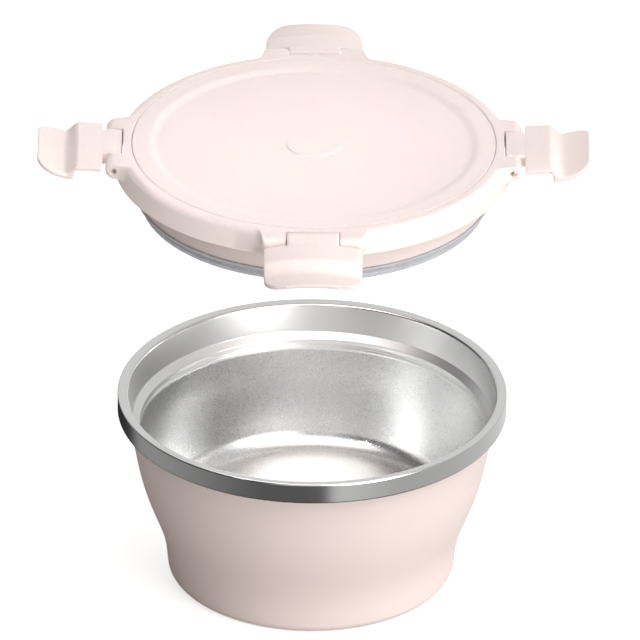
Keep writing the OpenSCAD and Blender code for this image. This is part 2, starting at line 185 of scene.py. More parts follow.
def eased(path: Array, longest: float, hold: float = HOLD, closed: bool = False) -> Array:
    """Adds points to an outline's straight sides, so that shading stays true beside its bends.

    Each side longer than four holds gets a point one hold from either end, and the rest is
    cut into equal steps no longer than the given length.

    Args:
        path: Points of the outline.
        longest: Longest step to leave, in millimetres.
        hold: Distance of the holding points from the ends of a side.
        closed: Whether the last point joins the first.

    Returns:
        The outline with the added points.
    """
    ends = np.roll(path, -1, axis=0)
    pieces: list[Array] = []
    count = len(path) if closed else len(path) - 1
    for a, b in zip(path[:count], ends[:count]):
        length = float(np.linalg.norm(b - a))
        share = [0.0]
        if length > 4 * hold and max(a[0], b[0]) > ON_AXIS:
            inner = np.linspace(hold, length - hold, max(1, math.ceil(length / longest)) + 1)
            share += list(inner / length)
        pieces.append(a + (b - a) * np.array(share)[:, None])
    if not closed:
        pieces.append(path[-1:])
    return np.concatenate(pieces)


def area(outline: Array) -> float:
    """Twice the area within an outline, positive where it runs anticlockwise."""
    a, b = outline[:, 0], outline[:, 1]
    return float(np.sum(a * np.roll(b, -1) - np.roll(a, -1) * b))


def sheet_outline(path: Sequence[Corner], thickness: float) -> Array:
    """Closed outline of a sheet whose visible face follows a path of corners.

    Args:
        path: Corners of the visible face.
        thickness: Thickness of the sheet, which lies to the right of its face.

    Returns:
        Points of the outline, one per row.
    """
    face = rounded(path)
    back = beside(face, thickness)
    return eased(np.concatenate([face, back[::-1]]), STEP, closed=True)


def smooth(mesh: bpy.types.Mesh, sharp: float) -> None:
    """Shades a mesh smooth, apart from its edges sharper than an angle in degrees."""
    mesh.polygons.foreach_set("use_smooth", np.ones(len(mesh.polygons), dtype=bool))
    mesh.set_sharp_from_angle(angle=math.radians(sharp))


def linked(name: str, data: bpy.types.ID) -> Piece:
    """Puts a mesh, a lamp or a camera into the scene as a new object.

    Args:
        name: The object's name.
        data: Its mesh, lamp or camera.

    Returns:
        The new object.
    """
    piece = bpy.data.objects.new(name, data)
    bpy.context.scene.collection.objects.link(piece)
    return piece


def new_mesh(name: str, points: Array, quads: Array, tris: Array | None = None,
             ngons: Iterable[Sequence[int]] = (), sharp: float = 40.0) -> Piece:
    """Makes a mesh object from arrays, with smooth faces and sharp edges kept.

    Args:
        name: The piece's name.
        points: Vertices in millimetres, one per row.
        quads: Rows of four vertex indices.
        tris: Rows of three vertex indices.
        ngons: Further faces of any number of corners.
        sharp: Angle in degrees above which an edge stays sharp.

    Returns:
        The new object, at the origin.
    """
    faces = quads.tolist() + ([] if tris is None else tris.tolist()) + list(ngons)
    mesh = bpy.data.meshes.new(name)
    mesh.from_pydata((points * MM).tolist(), [], faces)
    mesh.validate()
    smooth(mesh, sharp)
    return linked(name, mesh)


def grid_quads(rows: int, cols: int, closed: bool = False) -> Array:
    """Quads of a grid of vertices whose last column joins its first.

    Args:
        rows: Number of rows.
        cols: Number of columns.
        closed: Whether the last row joins the first as well.

    Returns:
        Rows of four vertex indices.
    """
    i = np.arange(rows if closed else rows - 1)[:, None]
    n = (i + 1) % rows
    j = np.arange(cols)[None, :]
    k = (j + 1) % cols
    quads = np.stack([i * cols + j, n * cols + j, n * cols + k, i * cols + k], axis=2)
    return quads.reshape(-1, 4)


def lathe(outline: Array, closed: bool, around: int = AROUND) -> tuple[Array, Array, Array]:
    """Turns an outline about the Z axis.

    A point (r, z) becomes (r cos a, r sin a, z) for evenly spaced angles a. A point on the
    axis stays one vertex, which a fan of triangles joins to its neighbours.

    Args:
        outline: Points (r, z), with the outside to the left of the direction of travel.
        closed: Whether the last point joins the first.
        around: Number of steps about the axis.

    Returns:
        Vertices, quads and triangles.
    """
    angle = np.linspace(0, 2 * math.pi, around, endpoint=False)
    pole = outline[:, 0] < ON_AXIS
    sizes = np.where(pole, 1, around)
    base = np.concatenate([[0], np.cumsum(sizes)[:-1]])
    r = outline[:, 0]
    ring = np.stack([np.outer(r, np.cos(angle)), np.outer(r, np.sin(angle)),
                     np.repeat(outline[:, 1:], around, axis=1)], axis=2)
    keep = np.ones((len(outline), around), dtype=bool)
    keep[pole, 1:] = False
    first = np.arange(len(outline) if closed else len(outline) - 1)
    second = (first + 1) % len(outline)
    j = np.arange(around)
    k = (j + 1) % around

    def index(row: Array, column: Array) -> Array:
        """Vertex index of each row and column of the grid."""
        return base[row][:, None] + np.where(pole[row][:, None], 0, column[None, :])

    quads = np.stack([index(first, j), index(first, k), index(second, k), index(second, j)],
                     axis=2)
    plain = ~(pole[first] | pole[second])
    start, end = pole[first] & ~pole[second], pole[second] & ~pole[first]
    tris = np.concatenate([quads[start][:, :, [0, 2, 3]].reshape(-1, 3),
                           quads[end][:, :, [0, 1, 2]].reshape(-1, 3)])
    return ring[keep], quads[plain].reshape(-1, 4), tris


def spun(name: str, outline: Array, closed: bool = False) -> Piece:
    """Makes a turned piece, reversing an outline that would turn its faces inwards."""
    return new_mesh(name, *lathe(outline[::-1] if area(outline) < 0 else outline, closed))


def dress(piece: Piece, *materials: Material) -> None:
    """Gives a piece its materials in order.

    Args:
        piece: The piece.
        materials: Its materials.
    """
    piece.data.materials.clear()
    for material in materials:
        piece.data.materials.append(material)


def carry(piece: Piece, body: str, slot: str, node: str, *materials: Material) -> Piece:
    """Dresses a piece and lets it ride on a body in place of a CAD node.

    Args:
        piece: The piece.
        body: The body that carries it.
        slot: The record's slot for its material; not used.
        node: The CAD node that it replaces.
        materials: Its materials in order.

    Returns:
        The piece.
    """
    dress(piece, *materials)
    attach(piece, body)
    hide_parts(node)
    LOG.info("%s: %s", body, piece.name)
    return piece


def srgb(code: str) -> tuple[float, float, float, float]:
    """Turns an sRGB hex colour to linear values.

    Below 0.04045 the value is divided by 12.92; above, it is ((v + 0.055) / 1.055) ** 2.4.

    Args:
        code: The colour as #rrggbb.

    Returns:
        Linear red, green and blue, and an alpha of 1.
    """
    value = np.array([int(code[i:i + 2], 16) for i in (1, 3, 5)]) / 255
    linear = np.where(value <= 0.04045, value / 12.92, ((value + 0.055) / 1.055) ** 2.4)
    return (*map(float, linear), 1.0)


def fresh_tree(owner: bpy.types.ID) -> Tree:
    """Gives a material or the world an empty node tree.

    Args:
        owner: The material or the world.

    Returns:
        The tree.
    """
    owner.use_nodes = True
    owner.node_tree.nodes.clear()
    return owner.node_tree


def add_node(tree: Tree, kind: str, inputs: dict[Any, Any] | None = None,
             stops: Sequence[tuple[float, float]] = (), **settings: Any) -> Node:
    """Adds a node with its settings and its inputs.

    Args:
        tree: The node tree.
        kind: The node's type without the word ShaderNode.
        inputs: Input names or numbers, each with a value, an output socket to link, or a
            node whose first output is linked.
        stops: Stops of a colour ramp, each a position and a grey value.
        settings: Attributes of the node.

    Returns:
        The node.
    """
    node = tree.nodes.new("ShaderNode" + kind)
    for key, value in settings.items():
        setattr(node, key, value)
    for key, value in (inputs or {}).items():
        if isinstance(value, bpy.types.Node):
            value = value.outputs[0]
        if isinstance(value, Socket):
            tree.links.new(value, node.inputs[key])
        else:
            node.inputs[key].default_value = value
    if stops:
        elements = node.color_ramp.elements
        while len(elements) < len(stops):
            elements.new(0.5)
        for element, (place, grey) in zip(elements, stops):
            element.position = place
            element.color = (grey, grey, grey, 1)
    return node


@dataclass(frozen=True)
class Finish:
    """A material with one shader, whose inputs are plain values and patterns."""

    name: str
    colour: str
    roughness: float

    def inputs(self, add: Adder, at: Socket) -> dict[str, Any]:
        """Gives the shader's inputs.

        Args:
            add: Adds a node to the material.
            at: Object coordinates.

        Returns:
            Values, sockets or nodes by the names of the inputs.
        """
        raise NotImplementedError

    def make(self) -> Material:
        """Builds the material.

        Returns:
            The new material.
        """
        material = bpy.data.materials.new(self.name)
        add = partial(add_node, fresh_tree(material))
        shader = add("BsdfPrincipled", {
            "Base Color": srgb(self.colour), "Roughness": self.roughness,
            **self.inputs(add, add("TexCoord").outputs["Object"])})
        add("OutputMaterial", {"Surface": shader})
        return material


@dataclass(frozen=True)
class Cloudy(Finish):
    """A finish whose colour clouds over to a shade."""

    shade: str = "#808080"

    def weave(self, add: Adder, cloud: Node, grain: Node, strength: float, relief_mm: float,
              most: float | None = None, swing: float = 0.0) -> dict[str, Any]:
        """Gives the inputs that follow a pattern of clouds and a pattern of grains.

        Args:
            add: Adds a node to the material.
            cloud: The pattern that mixes the shade into the colour.
            grain: The pattern of the relief and of the roughness.
            strength: Strength of the relief.
            relief_mm: Height of the relief in millimetres.
            most: Share of the shade at the top of the cloud's middle, or None where the
                pattern itself is the share.
            swing: Half the range of the roughness over the grain's middle.

        Returns:
            The shader's colour and normal and, with a swing, its roughness.
        """
        share = cloud if most is None else add(
            "MapRange", {"Value": cloud, **MIDDLE, "To Min": 0.0, "To Max": most})
        tone = add("Mix", {"Factor": share, 6: srgb(self.colour), 7: srgb(self.shade)},
                   data_type="RGBA")
        relief = add("Bump", {"Strength": strength, "Distance": relief_mm * MM,
                              "Height": grain})
        woven = {"Base Color": tone.outputs[2], "Normal": relief}
        if swing:
            woven["Roughness"] = add("MapRange", {
                "Value": grain, **MIDDLE, "To Min": self.roughness - swing,
                "To Max": self.roughness + swing})
        return woven


@dataclass(frozen=True)
class PowderCoat(Cloudy):
    """Polyester powder coat baked on steel: matte, with a fine orange peel."""

    # Widths in millimetres: the peel's short waves, as on a real coat, and faint clouds where
    # the coat is a little thicker.
    peel_mm: float = 0.55
    cloud_mm: float = 22.2
    shade: str = "#f2e0db"

    def inputs(self, add: Adder, at: Socket) -> dict[str, Any]:
        """Gives orange peel and faint clouds.

        Args:
            add: Adds a node to the material.
            at: Object coordinates.

        Returns:
            The shader's inputs by their names.
        """
        peel = add("TexNoise", {"Vector": at, "Scale": 1 / (self.peel_mm * MM), "Detail": 2.0,
                                "Roughness": 0.55})
        cloud = add("TexNoise", {"Vector": at, "Scale": 1 / (self.cloud_mm * MM), "Detail": 2.0})
        return {"Specular IOR Level": 0.35, **self.weave(
            add, cloud, peel, strength=0.25, relief_mm=0.03, most=0.25, swing=0.05)}


@dataclass(frozen=True)
class Moulded(Cloudy):
    """Injection-moulded polypropylene: satin, slightly cloudy, with a fine spark-eroded grain."""

    # Widths in millimetres: the grain, which is about 0.1 on a real moulding, too fine to show,
    # and so drawn as coarse as it needs to be, and faint clouds from the plastic's flow.
    grain_mm: float = 0.35
    cloud_mm: float = 33.3
    shade: str = "#f7e5e1"
    # Share of the light that comes back from within.
    milky: float = 0.06

    def inputs(self, add: Adder, at: Socket) -> dict[str, Any]:
        """Gives eroded grain, faint clouds and a little light from within.

        Args:
            add: Adds a node to the material.
            at: Object coordinates.

        Returns:
            The shader's inputs by their names.
        """
        grain = add("TexNoise", {"Vector": at, "Scale": 1 / (self.grain_mm * MM), "Detail": 2.0})
        cloud = add("TexNoise", {"Vector": at, "Scale": 1 / (self.cloud_mm * MM), "Detail": 1.0})
        return {"Subsurface Weight": self.milky, "Subsurface Radius": (1.0, 0.85, 0.8),
                "Subsurface Scale": 0.0015, "Specular IOR Level": 0.4, **self.weave(
                    add, cloud, grain, strength=0.15, relief_mm=0.02, most=0.2, swing=0.04)}


@dataclass(frozen=True)
class Silicone(Cloudy):
    """Moulded food-grade silicone: grey, cloudy, with a soft shine."""

    # Width of the clouds in the rubber, in millimetres.
    cloud_mm: float = 4.55
    shade: str = "#b4b6bc"

    def inputs(self, add: Adder, at: Socket) -> dict[str, Any]:
        """Gives fine clouds and light from within.

        Args:
            add: Adds a node to the material.
            at: Object coordinates.

        Returns:
            The shader's inputs by their names.
        """
        cloud = add("TexNoise", {"Vector": at, "Scale": 1 / (self.cloud_mm * MM), "Detail": 2.0})
        return {"Subsurface Weight": 0.35, "Subsurface Radius": (1.0, 1.0, 1.0),
                "Subsurface Scale": 0.002, "IOR": 1.41,
                **self.weave(add, cloud, cloud, strength=0.1, relief_mm=0.02)}


@dataclass(frozen=True)
class Grained(Cloudy):
    """A dull finish with a grain of its own, for the hidden pieces."""

    # Width of a grain in millimetres.
    grain_mm: float = 0.5
    metallic: float = 0.0

    def inputs(self, add: Adder, at: Socket) -> dict[str, Any]:
        """Gives grains that show in the colour and in the relief.

        Args:
            add: Adds a node to the material.
            at: Object coordinates.

        Returns:
            The shader's inputs by their names.
        """
        grain = add("TexVoronoi", {"Vector": at, "Scale": 1 / (self.grain_mm * MM)})
        return {"Metallic": self.metallic,
                **self.weave(add, grain, grain, strength=0.4, relief_mm=0.1)}


@dataclass(frozen=True)
class Steel(Finish):
    """Stainless steel, type 304, spun and tumbled: grains and turned lines catch the light."""

    # Distance of the turned lines and width of the grains, in millimetres. On real steel both
    # are 0.1 or less, too fine to show, so they are drawn as coarse as they need to be.
    line_mm: float = 0.35
    grain_mm: float = 0.9
    # Strength of the relief of either, and half the range of the roughness over the grains.
    line_depth: float = 0.3
    grain_depth: float = 0.3
    swing: float = 0.08

    def inputs(self, add: Adder, at: Socket) -> dict[str, Any]:
        """Gives turned lines and grains.

        The turned lines are a noise on (4 cos a, 4 sin a, (r + z) / line), where a is the angle
        about the axis and r the distance from it, so that they run round the piece.

        Args:
            add: Adds a node to the material.
            at: Object coordinates.

        Returns:
            The shader's inputs by their names.
        """
        x, y, z = add("SeparateXYZ", {0: at}).outputs
        flat = add("CombineXYZ", {0: x, 1: y})
        length = add("VectorMath", {0: flat}, operation="LENGTH").outputs["Value"]
        unit = add("VectorMath", {0: flat}, operation="NORMALIZE")
        along = add("Math", {0: length, 1: z}, operation="ADD")
        across = add("Math", {0: along, 1: 1 / (self.line_mm * MM)}, operation="MULTIPLY")
        spread = add("VectorMath", {0: unit, "Scale": 4.0}, operation="SCALE")
        joined = add("VectorMath", {0: spread, 1: add("CombineXYZ", {2: across})},
                     operation="ADD")
        lines = add("TexNoise", {"Vector": joined, "Scale": 1.0, "Detail": 3.0,
                                 "Roughness": 0.6})
        grain = add("TexNoise", {"Vector": at, "Scale": 1 / (self.grain_mm * MM),
                                 "Detail": 3.0, "Roughness": 0.65})
        rough = add("MapRange", {"Value": grain, **MIDDLE, "To Min": self.roughness - self.swing,
                                 "To Max": self.roughness + self.swing})
        first = add("Bump", {"Strength": self.line_depth, "Distance": 0.02 * MM,
                             "Height": lines})
        second = add("Bump", {"Strength": self.grain_depth, "Distance": 0.04 * MM,
                              "Height": grain, "Normal": first})
        return {"Metallic": 1.0, "Roughness": rough, "Normal": second}


def made(finish: Finish) -> Any:
    """A field that holds a finish's material, made together with its owner."""
    return field(default_factory=finish.make)


@dataclass
class Finishes:
    """The materials of the object, made once."""

    # Stainless steel, type 304, drawn and tumbled: dull and grainy, so highlights spread widely.
    inside: Material = made(Steel(
        "tumbled_stainless", "#e6e6e5", 0.28, line_depth=0.05, grain_mm=0.8, grain_depth=0.07,
        swing=0.02))
    # The same steel, wiped by a forming tool: the tapered mouth and its ledge shine more evenly.
    mouth: Material = made(Steel("turned_stainless", "#f0f0ef", 0.32, line_depth=0.1,
                                 grain_depth=0.02, swing=0.03))
    # The same steel, rolled and polished: long clean reflections with faint lines round it.
    rim: Material = made(Steel("polished_stainless_band", "#ebebea", 0.18, line_depth=0.25,
                               grain_depth=0.02, swing=0.03))
    # Powder coat, sprayed dry and baked: matte pale pink with a fine orange peel.
    coat: Material = made(PowderCoat("pink_powder_coat", "#f6e6e2", 0.55))
    # Stainless steel, type 304, spun: turned lines from the centre out.
    base: Material = made(Steel("spun_stainless_base", "#bdbdbc", 0.3, line_depth=0.6,
                                grain_depth=0.1))
    # Polypropylene, injection-moulded in an eroded mould: satin and faintly cloudy pale pink.
    plastic: Material = made(Moulded("pink_polypropylene", "#faebe7", 0.42))
    # Silicone rubber, moulded: cloudy grey, so light sinks in a little before it comes back.
    silicone: Material = made(Silicone("grey_silicone", "#d6d8dc", 0.3))
    # Stainless steel wire, drawn and cut: fine lines, and ends that show darker.
    wire: Material = made(Steel("drawn_stainless_wire", "#9c9c9b", 0.35, line_mm=0.1,
                                grain_mm=0.2))
    # Expanded polystyrene, steamed in a mould: white cells a few millimetres wide.
    foam: Material = made(Grained(
        "expanded_polystyrene", "#f6f4ee", 0.9, grain_mm=3.0, shade="#ddd9d0"))
    # Solder glass, fused in the furnace: dark and slightly glossy.
    glass_bead: Material = made(Grained(
        "solder_glass", "#2f3336", 0.35, grain_mm=1.2, shade="#4a4f55"))
    # Zirconium getter, pressed and sintered from powder: dull dark grey. The powder's grains
    # are under 0.1 mm wide, too fine to show, so they are drawn as coarse as they need to be.
    sinter: Material = made(Grained(
        "sintered_getter", "#55555a", 0.7, grain_mm=0.4, shade="#77777c", metallic=0.8))


@dataclass
class Bowl:
    """The double-walled steel bowl. Sizes in millimetres, heights above the table."""

    finishes: Finishes
    height: float = 86.6
    rim_r: float = 85.0
    sheet: float = 0.6
    lip_w: float = 4.4
    lip_round: float = 1.4
    # Radius of the lip's outer edge, and how far the lip falls inwards.
    lip_edge: float = 0.65
    lip_fall: float = 0.4
    band_h: float = 9.4
    band_round: float = 1.0
    # The band's finish starts this far below the lip's inner edge and outside the neck.
    polish_h: float = 1.0
    polish_out: float = 0.5
    mouth_depth: float = 12.8
    mouth_taper: float = 2.4
    ledge_h: float = 2.5
    ledge_w: float = 3.0
    land_h: float = 5.0
    # Roundings at the foot of the land and at the ledge's inner and outer edges.
    land_round: float = 1.5
    ledge_in_round: float = 0.75
    ledge_out_round: float = 0.5
    # Turned grooves in the land: how many, where they start, half width, depth and rounding.
    grooves: int = 2
    groove_z: float = 3.9
    groove_step: float = 0.5
    groove_in: float = 0.3
    groove_round: float = 0.6
    floor_z: float = 24.1
    floor_round: float = 10.8
    neck_r: float = 80.6
    bend: Point = (74.5, 44.1, 120.0)
    waist: Point = (64.3, 17.8, 60.0)
    foot: Point = (62.4, 0.0, 4.2)
    rest_r: float = 54.0
    hem_h: float = 3.6
    hem_round: float = 0.8
    wall_gap: float = 3.4
    fit: float = 0.05
    cover_z: float = 1.5
    cover_h: float = 2.6
    cover_round: float = 1.2
    # Depth, width and rounding of the cover's pressed steps, how far in the outer ring lies,
    # and the inner ring's radius.
    press: float = 0.35
    press_w: float = 1.0
    press_round: float = 1.5
    press_at: tuple[float, float] = (6.0, 12.0)
    press_r: float = 12.0

    def wall_r(self, z: float) -> float:
        """Radius of the coated wall's straight stretch between bend and waist."""
        share = (self.bend[1] - z) / (self.bend[1] - self.waist[1])
        return self.bend[0] + (self.waist[0] - self.bend[0]) * share

    def liner(self) -> Piece:
        """The drawn liner with its rolled band, in three finishes by zone.

        A face belongs to the rim where it lies above the lip's rounding or outside the neck,
        to the mouth down to the foot of the land, and to the inside below.

        Returns:
            The piece, which rides on the bowl.
        """
        mouth_r = self.rim_r - self.lip_w
        ledge_r = mouth_r - self.mouth_taper
        land_r = ledge_r - self.ledge_w
        land_z = self.height - self.mouth_depth - self.ledge_h
        lip_z = self.height - self.lip_fall
        path: list[Corner] = [
            (0.0, self.floor_z),
            (self.wall_r(self.floor_z) - self.wall_gap, self.floor_z, self.floor_round),
            (self.bend[0] - self.wall_gap, self.bend[1], self.bend[2]),
            (land_r, land_z - self.land_h, self.land_round)]
        path += [(land_r + self.groove_in * (i % 2),
                  land_z - self.groove_z + self.groove_step * i, self.groove_round)
                 for i in range(2 * self.grooves + 1)]
        path += [
            (land_r, land_z, self.ledge_in_round),
            (ledge_r, self.height - self.mouth_depth, self.ledge_out_round),
            (mouth_r, lip_z, self.lip_round), (self.rim_r, self.height, self.lip_edge),
            (self.rim_r, self.height - self.band_h, self.band_round),
            (self.neck_r + self.sheet, self.height - self.band_h)]
        piece = spun("steel_liner", sheet_outline(path, self.sheet), closed=True)
        mesh = piece.data
        centre = np.empty(len(mesh.polygons) * 3)
        mesh.polygons.foreach_get("center", centre)
        x, y, z = centre.reshape(-1, 3).T / MM
        zone = np.full(len(z), Band.INSIDE.value)
        zone[z > land_z - self.land_h] = Band.MOUTH.value
        outer = np.hypot(x, y) > self.neck_r + self.polish_out
        zone[(z > lip_z - self.polish_h) | outer] = Band.RIM.value
        carry(piece, "bowl", "liner_steel", "inner_liner", self.finishes.inside,
              self.finishes.mouth, self.finishes.rim)
        mesh.polygons.foreach_set("material_index", zone.astype(np.int32))
        return piece

    def shell(self) -> Piece:
        """The coated outer wall, from its neck inside the band to the hem in the foot.

        Returns:
            The piece, which rides on the bowl.
        """
        neck_top = self.rim_r - self.lip_w + self.lip_round + self.sheet
        top = self.height - self.sheet - self.lip_fall
        path: list[Corner] = [
            (neck_top, top), (neck_top, top - self.lip_round),
            (self.neck_r, self.height - self.band_h), self.bend, self.waist, self.foot,
            (self.rest_r, 0.0, self.hem_round), (self.rest_r, self.hem_h)]
        piece = spun("coated_wall", sheet_outline(path, self.sheet), closed=True)
        return carry(piece, "bowl", "pink_coat", "outer_shell", self.finishes.coat)

    def cover(self) -> Piece:
        """The pressed base cover, with two shallow stiffening rings.

        Returns:
            The piece, which rides on the bowl.
        """
        edge, low = self.rest_r - self.fit, self.cover_z
        up = low + self.press
        start, end, inner = edge - self.press_at[0], edge - self.press_at[1], self.press_r
        wide = self.press_w
        steps = [(start, low), (start - wide, up), (end, up), (end - wide, low), (inner, low),
                 (inner - wide, up)]
        path: list[Corner] = [(edge, low + self.cover_h), (edge, low, self.cover_round)]
        path += [(*step, self.press_round) for step in steps] + [(0.0, up)]
        piece = spun("base_plate", sheet_outline(path, self.sheet), closed=True)
        return carry(piece, "bowl", "bottom_steel", "base_cover", self.finishes.base)

    def build(self) -> None:
        """Builds the visible steel and dresses the hidden pieces in their own finishes."""
        self.liner()
        self.shell()
        self.cover()
        for node, material in (("outer_bottom", self.finishes.base),
                               ("vacuum_seal", self.finishes.glass_bead),
                               ("getter", self.finishes.sinter)):
            dress(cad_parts[node], material)


@dataclass
class Hinge:
    """Where a clip's pin lies, from the lid's seat. Sizes in millimetres."""

    pin_r: float = 86.5
    pin_z: float = 7.2
    barrel_r: float = 3.6
    wire_r: float = 1.2
    chamfer: float = 0.25
    boss_w: float = 44.0
    # Depth and radius of the recess in which the pin's end shows.
    sink: float = 0.8
    sink_r: float = 1.5
    around: int = 32


@dataclass
class Lid:
    """The lid without its clips. Heights from the lid's seat on the rim."""

    finishes: Finishes
    hinge: Hinge
    seat_z: float = 198.5
    ring_bottom: float = 0.5
    ring_top: float = 10.8
    ring_r: float = 86.5
    ring_lean: float = 2.4
    ring_shoulder: float = 3.2
    ring_wall: float = 2.0
    # Rounding of the ring's lower edge and of its hairline joint with the panel.
    ring_round: float = 0.4
    web_t: float = 3.0
    # Roundings within the ring, below its web and at its foot.
    web_round: float = 1.2
    foot_round: float = 0.2
    leg_r: float = 76.9
    boss_corner: float = 2.5
    boss_fillet: float = 6.5
    boss_edge: float = 0.5
    # Points along half a boss's front, round its corner, round the fillet and along the ring.
    plan_steps: tuple[int, int, int, int] = (15, 10, 15, 24)
    # Height at which the bosses start, and how far one stands out where it is all boss.
    boss_z: float = 3.65
    boss_blend: float = 3.2
    # Part of the pin's circle that a boss's front follows, in degrees, and its steps.
    boss_arc: tuple[float, float, int] = (-82, 90, 24)
    # Heights of the ring's side below the bosses, and how far below them it ends.
    side_z: tuple[float, float] = (1.5, 2.5)
    side_gap: float = 0.3
    slot_w: float = 23.3
    slot_gap: float = 0.4
    # How far out the blocks that cut the slots reach, and their feet and tops.
    slot_cut: tuple[float, float, float] = (20.0, -5.0, 15.0)
    # Distance of the blocks within the ring from its skin: beside the slot, above the foot
    # and below the top.
    skin: float = 0.02
    skin_low: float = 0.05
    skin_top: float = 0.3
    # Angle in degrees above which an edge of the cut ring stays sharp.
    sharp: float = 35.0
    joint_r: float = 79.05
    panel_gap: float = 0.3
    panel_t: float = 2.0
    dish: float = 1.2
    dish_round: float = 5.0
    border_w: float = 7.35
    slope_w: float = 3.4
    cap_r: float = 11.9
    cap_h: float = 1.1
    cap_round: float = 0.6
    stem_r: float = 5.0
    stem_l: float = 2.4
    stem_fit: float = 0.1
    # Height of the stem's snap bead, and its start and end below the panel.
    snap: float = 0.5
    snap_z: tuple[float, float] = (0.25, 1.5)
    skirt_r: float = 77.0
    skirt_taper: float = 0.4
    skirt_depth: float = 11.3
    wall: float = 1.6
    flange_w: float = 3.0
    flange_z: float = 0.6
    flange_t: float = 2.0
    groove_r: float = 72.6
    groove_h: float = 3.8
    groove_fit: float = 0.1
    keep_w: float = 1.4
    # Roundings of the plug: its flange, the corner below it, the skirt's foot and the keep.
    flange_round: float = 0.3
    flange_corner: float = 0.5
    skirt_round: float = 0.25
    keep_round: float = 0.5
    seal_r: float = 74.9
    fin_out: float = 0.9
    fin_t: float = 0.9
    low_fin_t: float = 0.8
    low_fin_l: float = 0.6
    seal_round: float = 0.3

    def turned(self, name: str, node: str, path: Sequence[Corner], closed: bool = True,
               longest: float = STEP, slot: str = "pink_plastic") -> Piece:
        """Makes one turned piece of the lid.

        Args:
            name: The piece's name.
            node: The CAD node that it replaces.
            path: Its section's corners.
            closed: Whether the section closes off the axis.
            longest: Longest step along the section.
            slot: The record's slot for its material.

        Returns:
            The piece, which rides on the lid.
        """
        outline = eased(rounded(path, closed), longest, closed=closed)
        piece = spun(name, outline + np.array([0.0, self.seat_z]), closed)
        silicone = slot == "silicone"
        return carry(piece, "lid", slot, node,
                     self.finishes.silicone if silicone else self.finishes.plastic)

    def panel(self) -> Piece:
        """The dished panel, with softened edges at its border and its hairline joint.

        Returns:
            The piece, which rides on the lid.
        """
        edge = self.joint_r - self.panel_gap
        border = edge - self.border_w
        inner = border - self.slope_w
        low = self.ring_top - self.dish
        under = self.ring_top - self.panel_t
        hole_r = self.stem_r + self.stem_fit
        return self.turned("lid_top_panel", "lid_panel", [
            (hole_r, low), (inner, low, self.dish_round),
            (border, self.ring_top, self.dish_round), (edge, self.ring_top, self.ring_round),
            (edge, under), (border, under), (inner, under - self.dish),
            (hole_r, under - self.dish)])

    def cap(self) -> Piece:
        """The round cap with its stem and snap bead.

        Returns:
            The piece, which rides on the lid.
        """
        low = self.ring_top - self.dish
        under = low - self.panel_t
        top, stem = low + self.cap_h, self.stem_r
        return self.turned("round_cap", "centre_cap", [
            (0.0, top), (self.cap_r, top, self.cap_round), (self.cap_r, low), (stem, low),
            (stem, under - self.snap_z[0]), (stem + self.snap, under - self.snap),
            (stem, under - self.snap_z[1]),
            (stem, under - self.stem_l), (0.0, under - self.stem_l)], closed=False)

    def plug(self) -> Piece:
        """The plug under the lid: flange, tapered skirt, groove and floor.

        Returns:
            The piece, which rides on the lid.
        """
        foot, depth = self.skirt_r - self.skirt_taper, -self.skirt_depth
        top = self.flange_z + self.flange_t
        keep = depth - self.groove_h
        low = keep - self.wall
        flange_r, keep_r = self.skirt_r + self.flange_w, self.groove_r + self.keep_w
        inner_r = self.groove_r - self.wall
        return self.turned("lid_plug_shell", "lid_plug", [
            (flange_r, top), (flange_r, self.flange_z, self.flange_round),
            (self.skirt_r, self.flange_z, self.flange_corner), (foot, depth, self.skirt_round),
            (self.groove_r, depth), (self.groove_r, keep), (keep_r, keep),
            (keep_r, low, self.keep_round), (0.0, low), (0.0, keep), (inner_r, keep),
            (inner_r, depth + self.wall), (foot - self.wall, depth + self.wall),
            (self.skirt_r - self.wall, top)])

    def seal(self) -> Piece:
        """The silicone seal with its two fins.

        Returns:
            The piece, which rides on the lid.
        """
        top = -self.skirt_depth - self.groove_fit
        keep = -self.skirt_depth - self.groove_h + self.groove_fit
        under = keep - self.groove_fit
        back = self.groove_r + self.groove_fit
        fin = self.skirt_r - self.skirt_taper + self.fin_out
        body = self.seal_r - self.low_fin_t / 2
        low_in = self.seal_r - self.low_fin_t
        low = under - self.wall - self.low_fin_l
        soft = self.seal_round
        return self.turned("silicone_seal", "lid_seal", [
            (back, top), (fin, top, self.fin_t / 2), (fin, top - self.fin_t, soft),
            (body, top - 2 * self.fin_t, soft), (body, keep, soft),
            (self.seal_r, under - self.wall / 2, soft), (self.seal_r, low, soft),
            (low_in, low, soft), (low_in, keep), (back, keep)], longest=1.0, slot="silicone")

    def side_r(self, height: Array) -> Array:
        """Radius of the ring's outer side at each height.

        The side leans in evenly, and above the shoulder's centre it gives way to the arc
        r = centre + sqrt(shoulder^2 - rise^2).

        Args:
            height: Heights above the lid's seat, in millimetres.

        Returns:
            The radii there.
        """
        tall = self.ring_top - self.ring_bottom
        plain = self.ring_r - self.ring_lean * (height - self.ring_bottom) / tall
        centre_z = self.ring_top - self.ring_shoulder
        slope = math.atan(self.ring_lean / tall)
        centre_r = self.ring_r - self.ring_lean * (centre_z - self.ring_bottom) / tall
        centre_r -= self.ring_shoulder / math.cos(slope)
        rise = np.clip(height - centre_z, 0, self.ring_shoulder)
        arc = centre_r + np.sqrt(self.ring_shoulder ** 2 - rise ** 2)
        return np.where(rise > self.ring_shoulder * math.sin(slope), arc, plain)

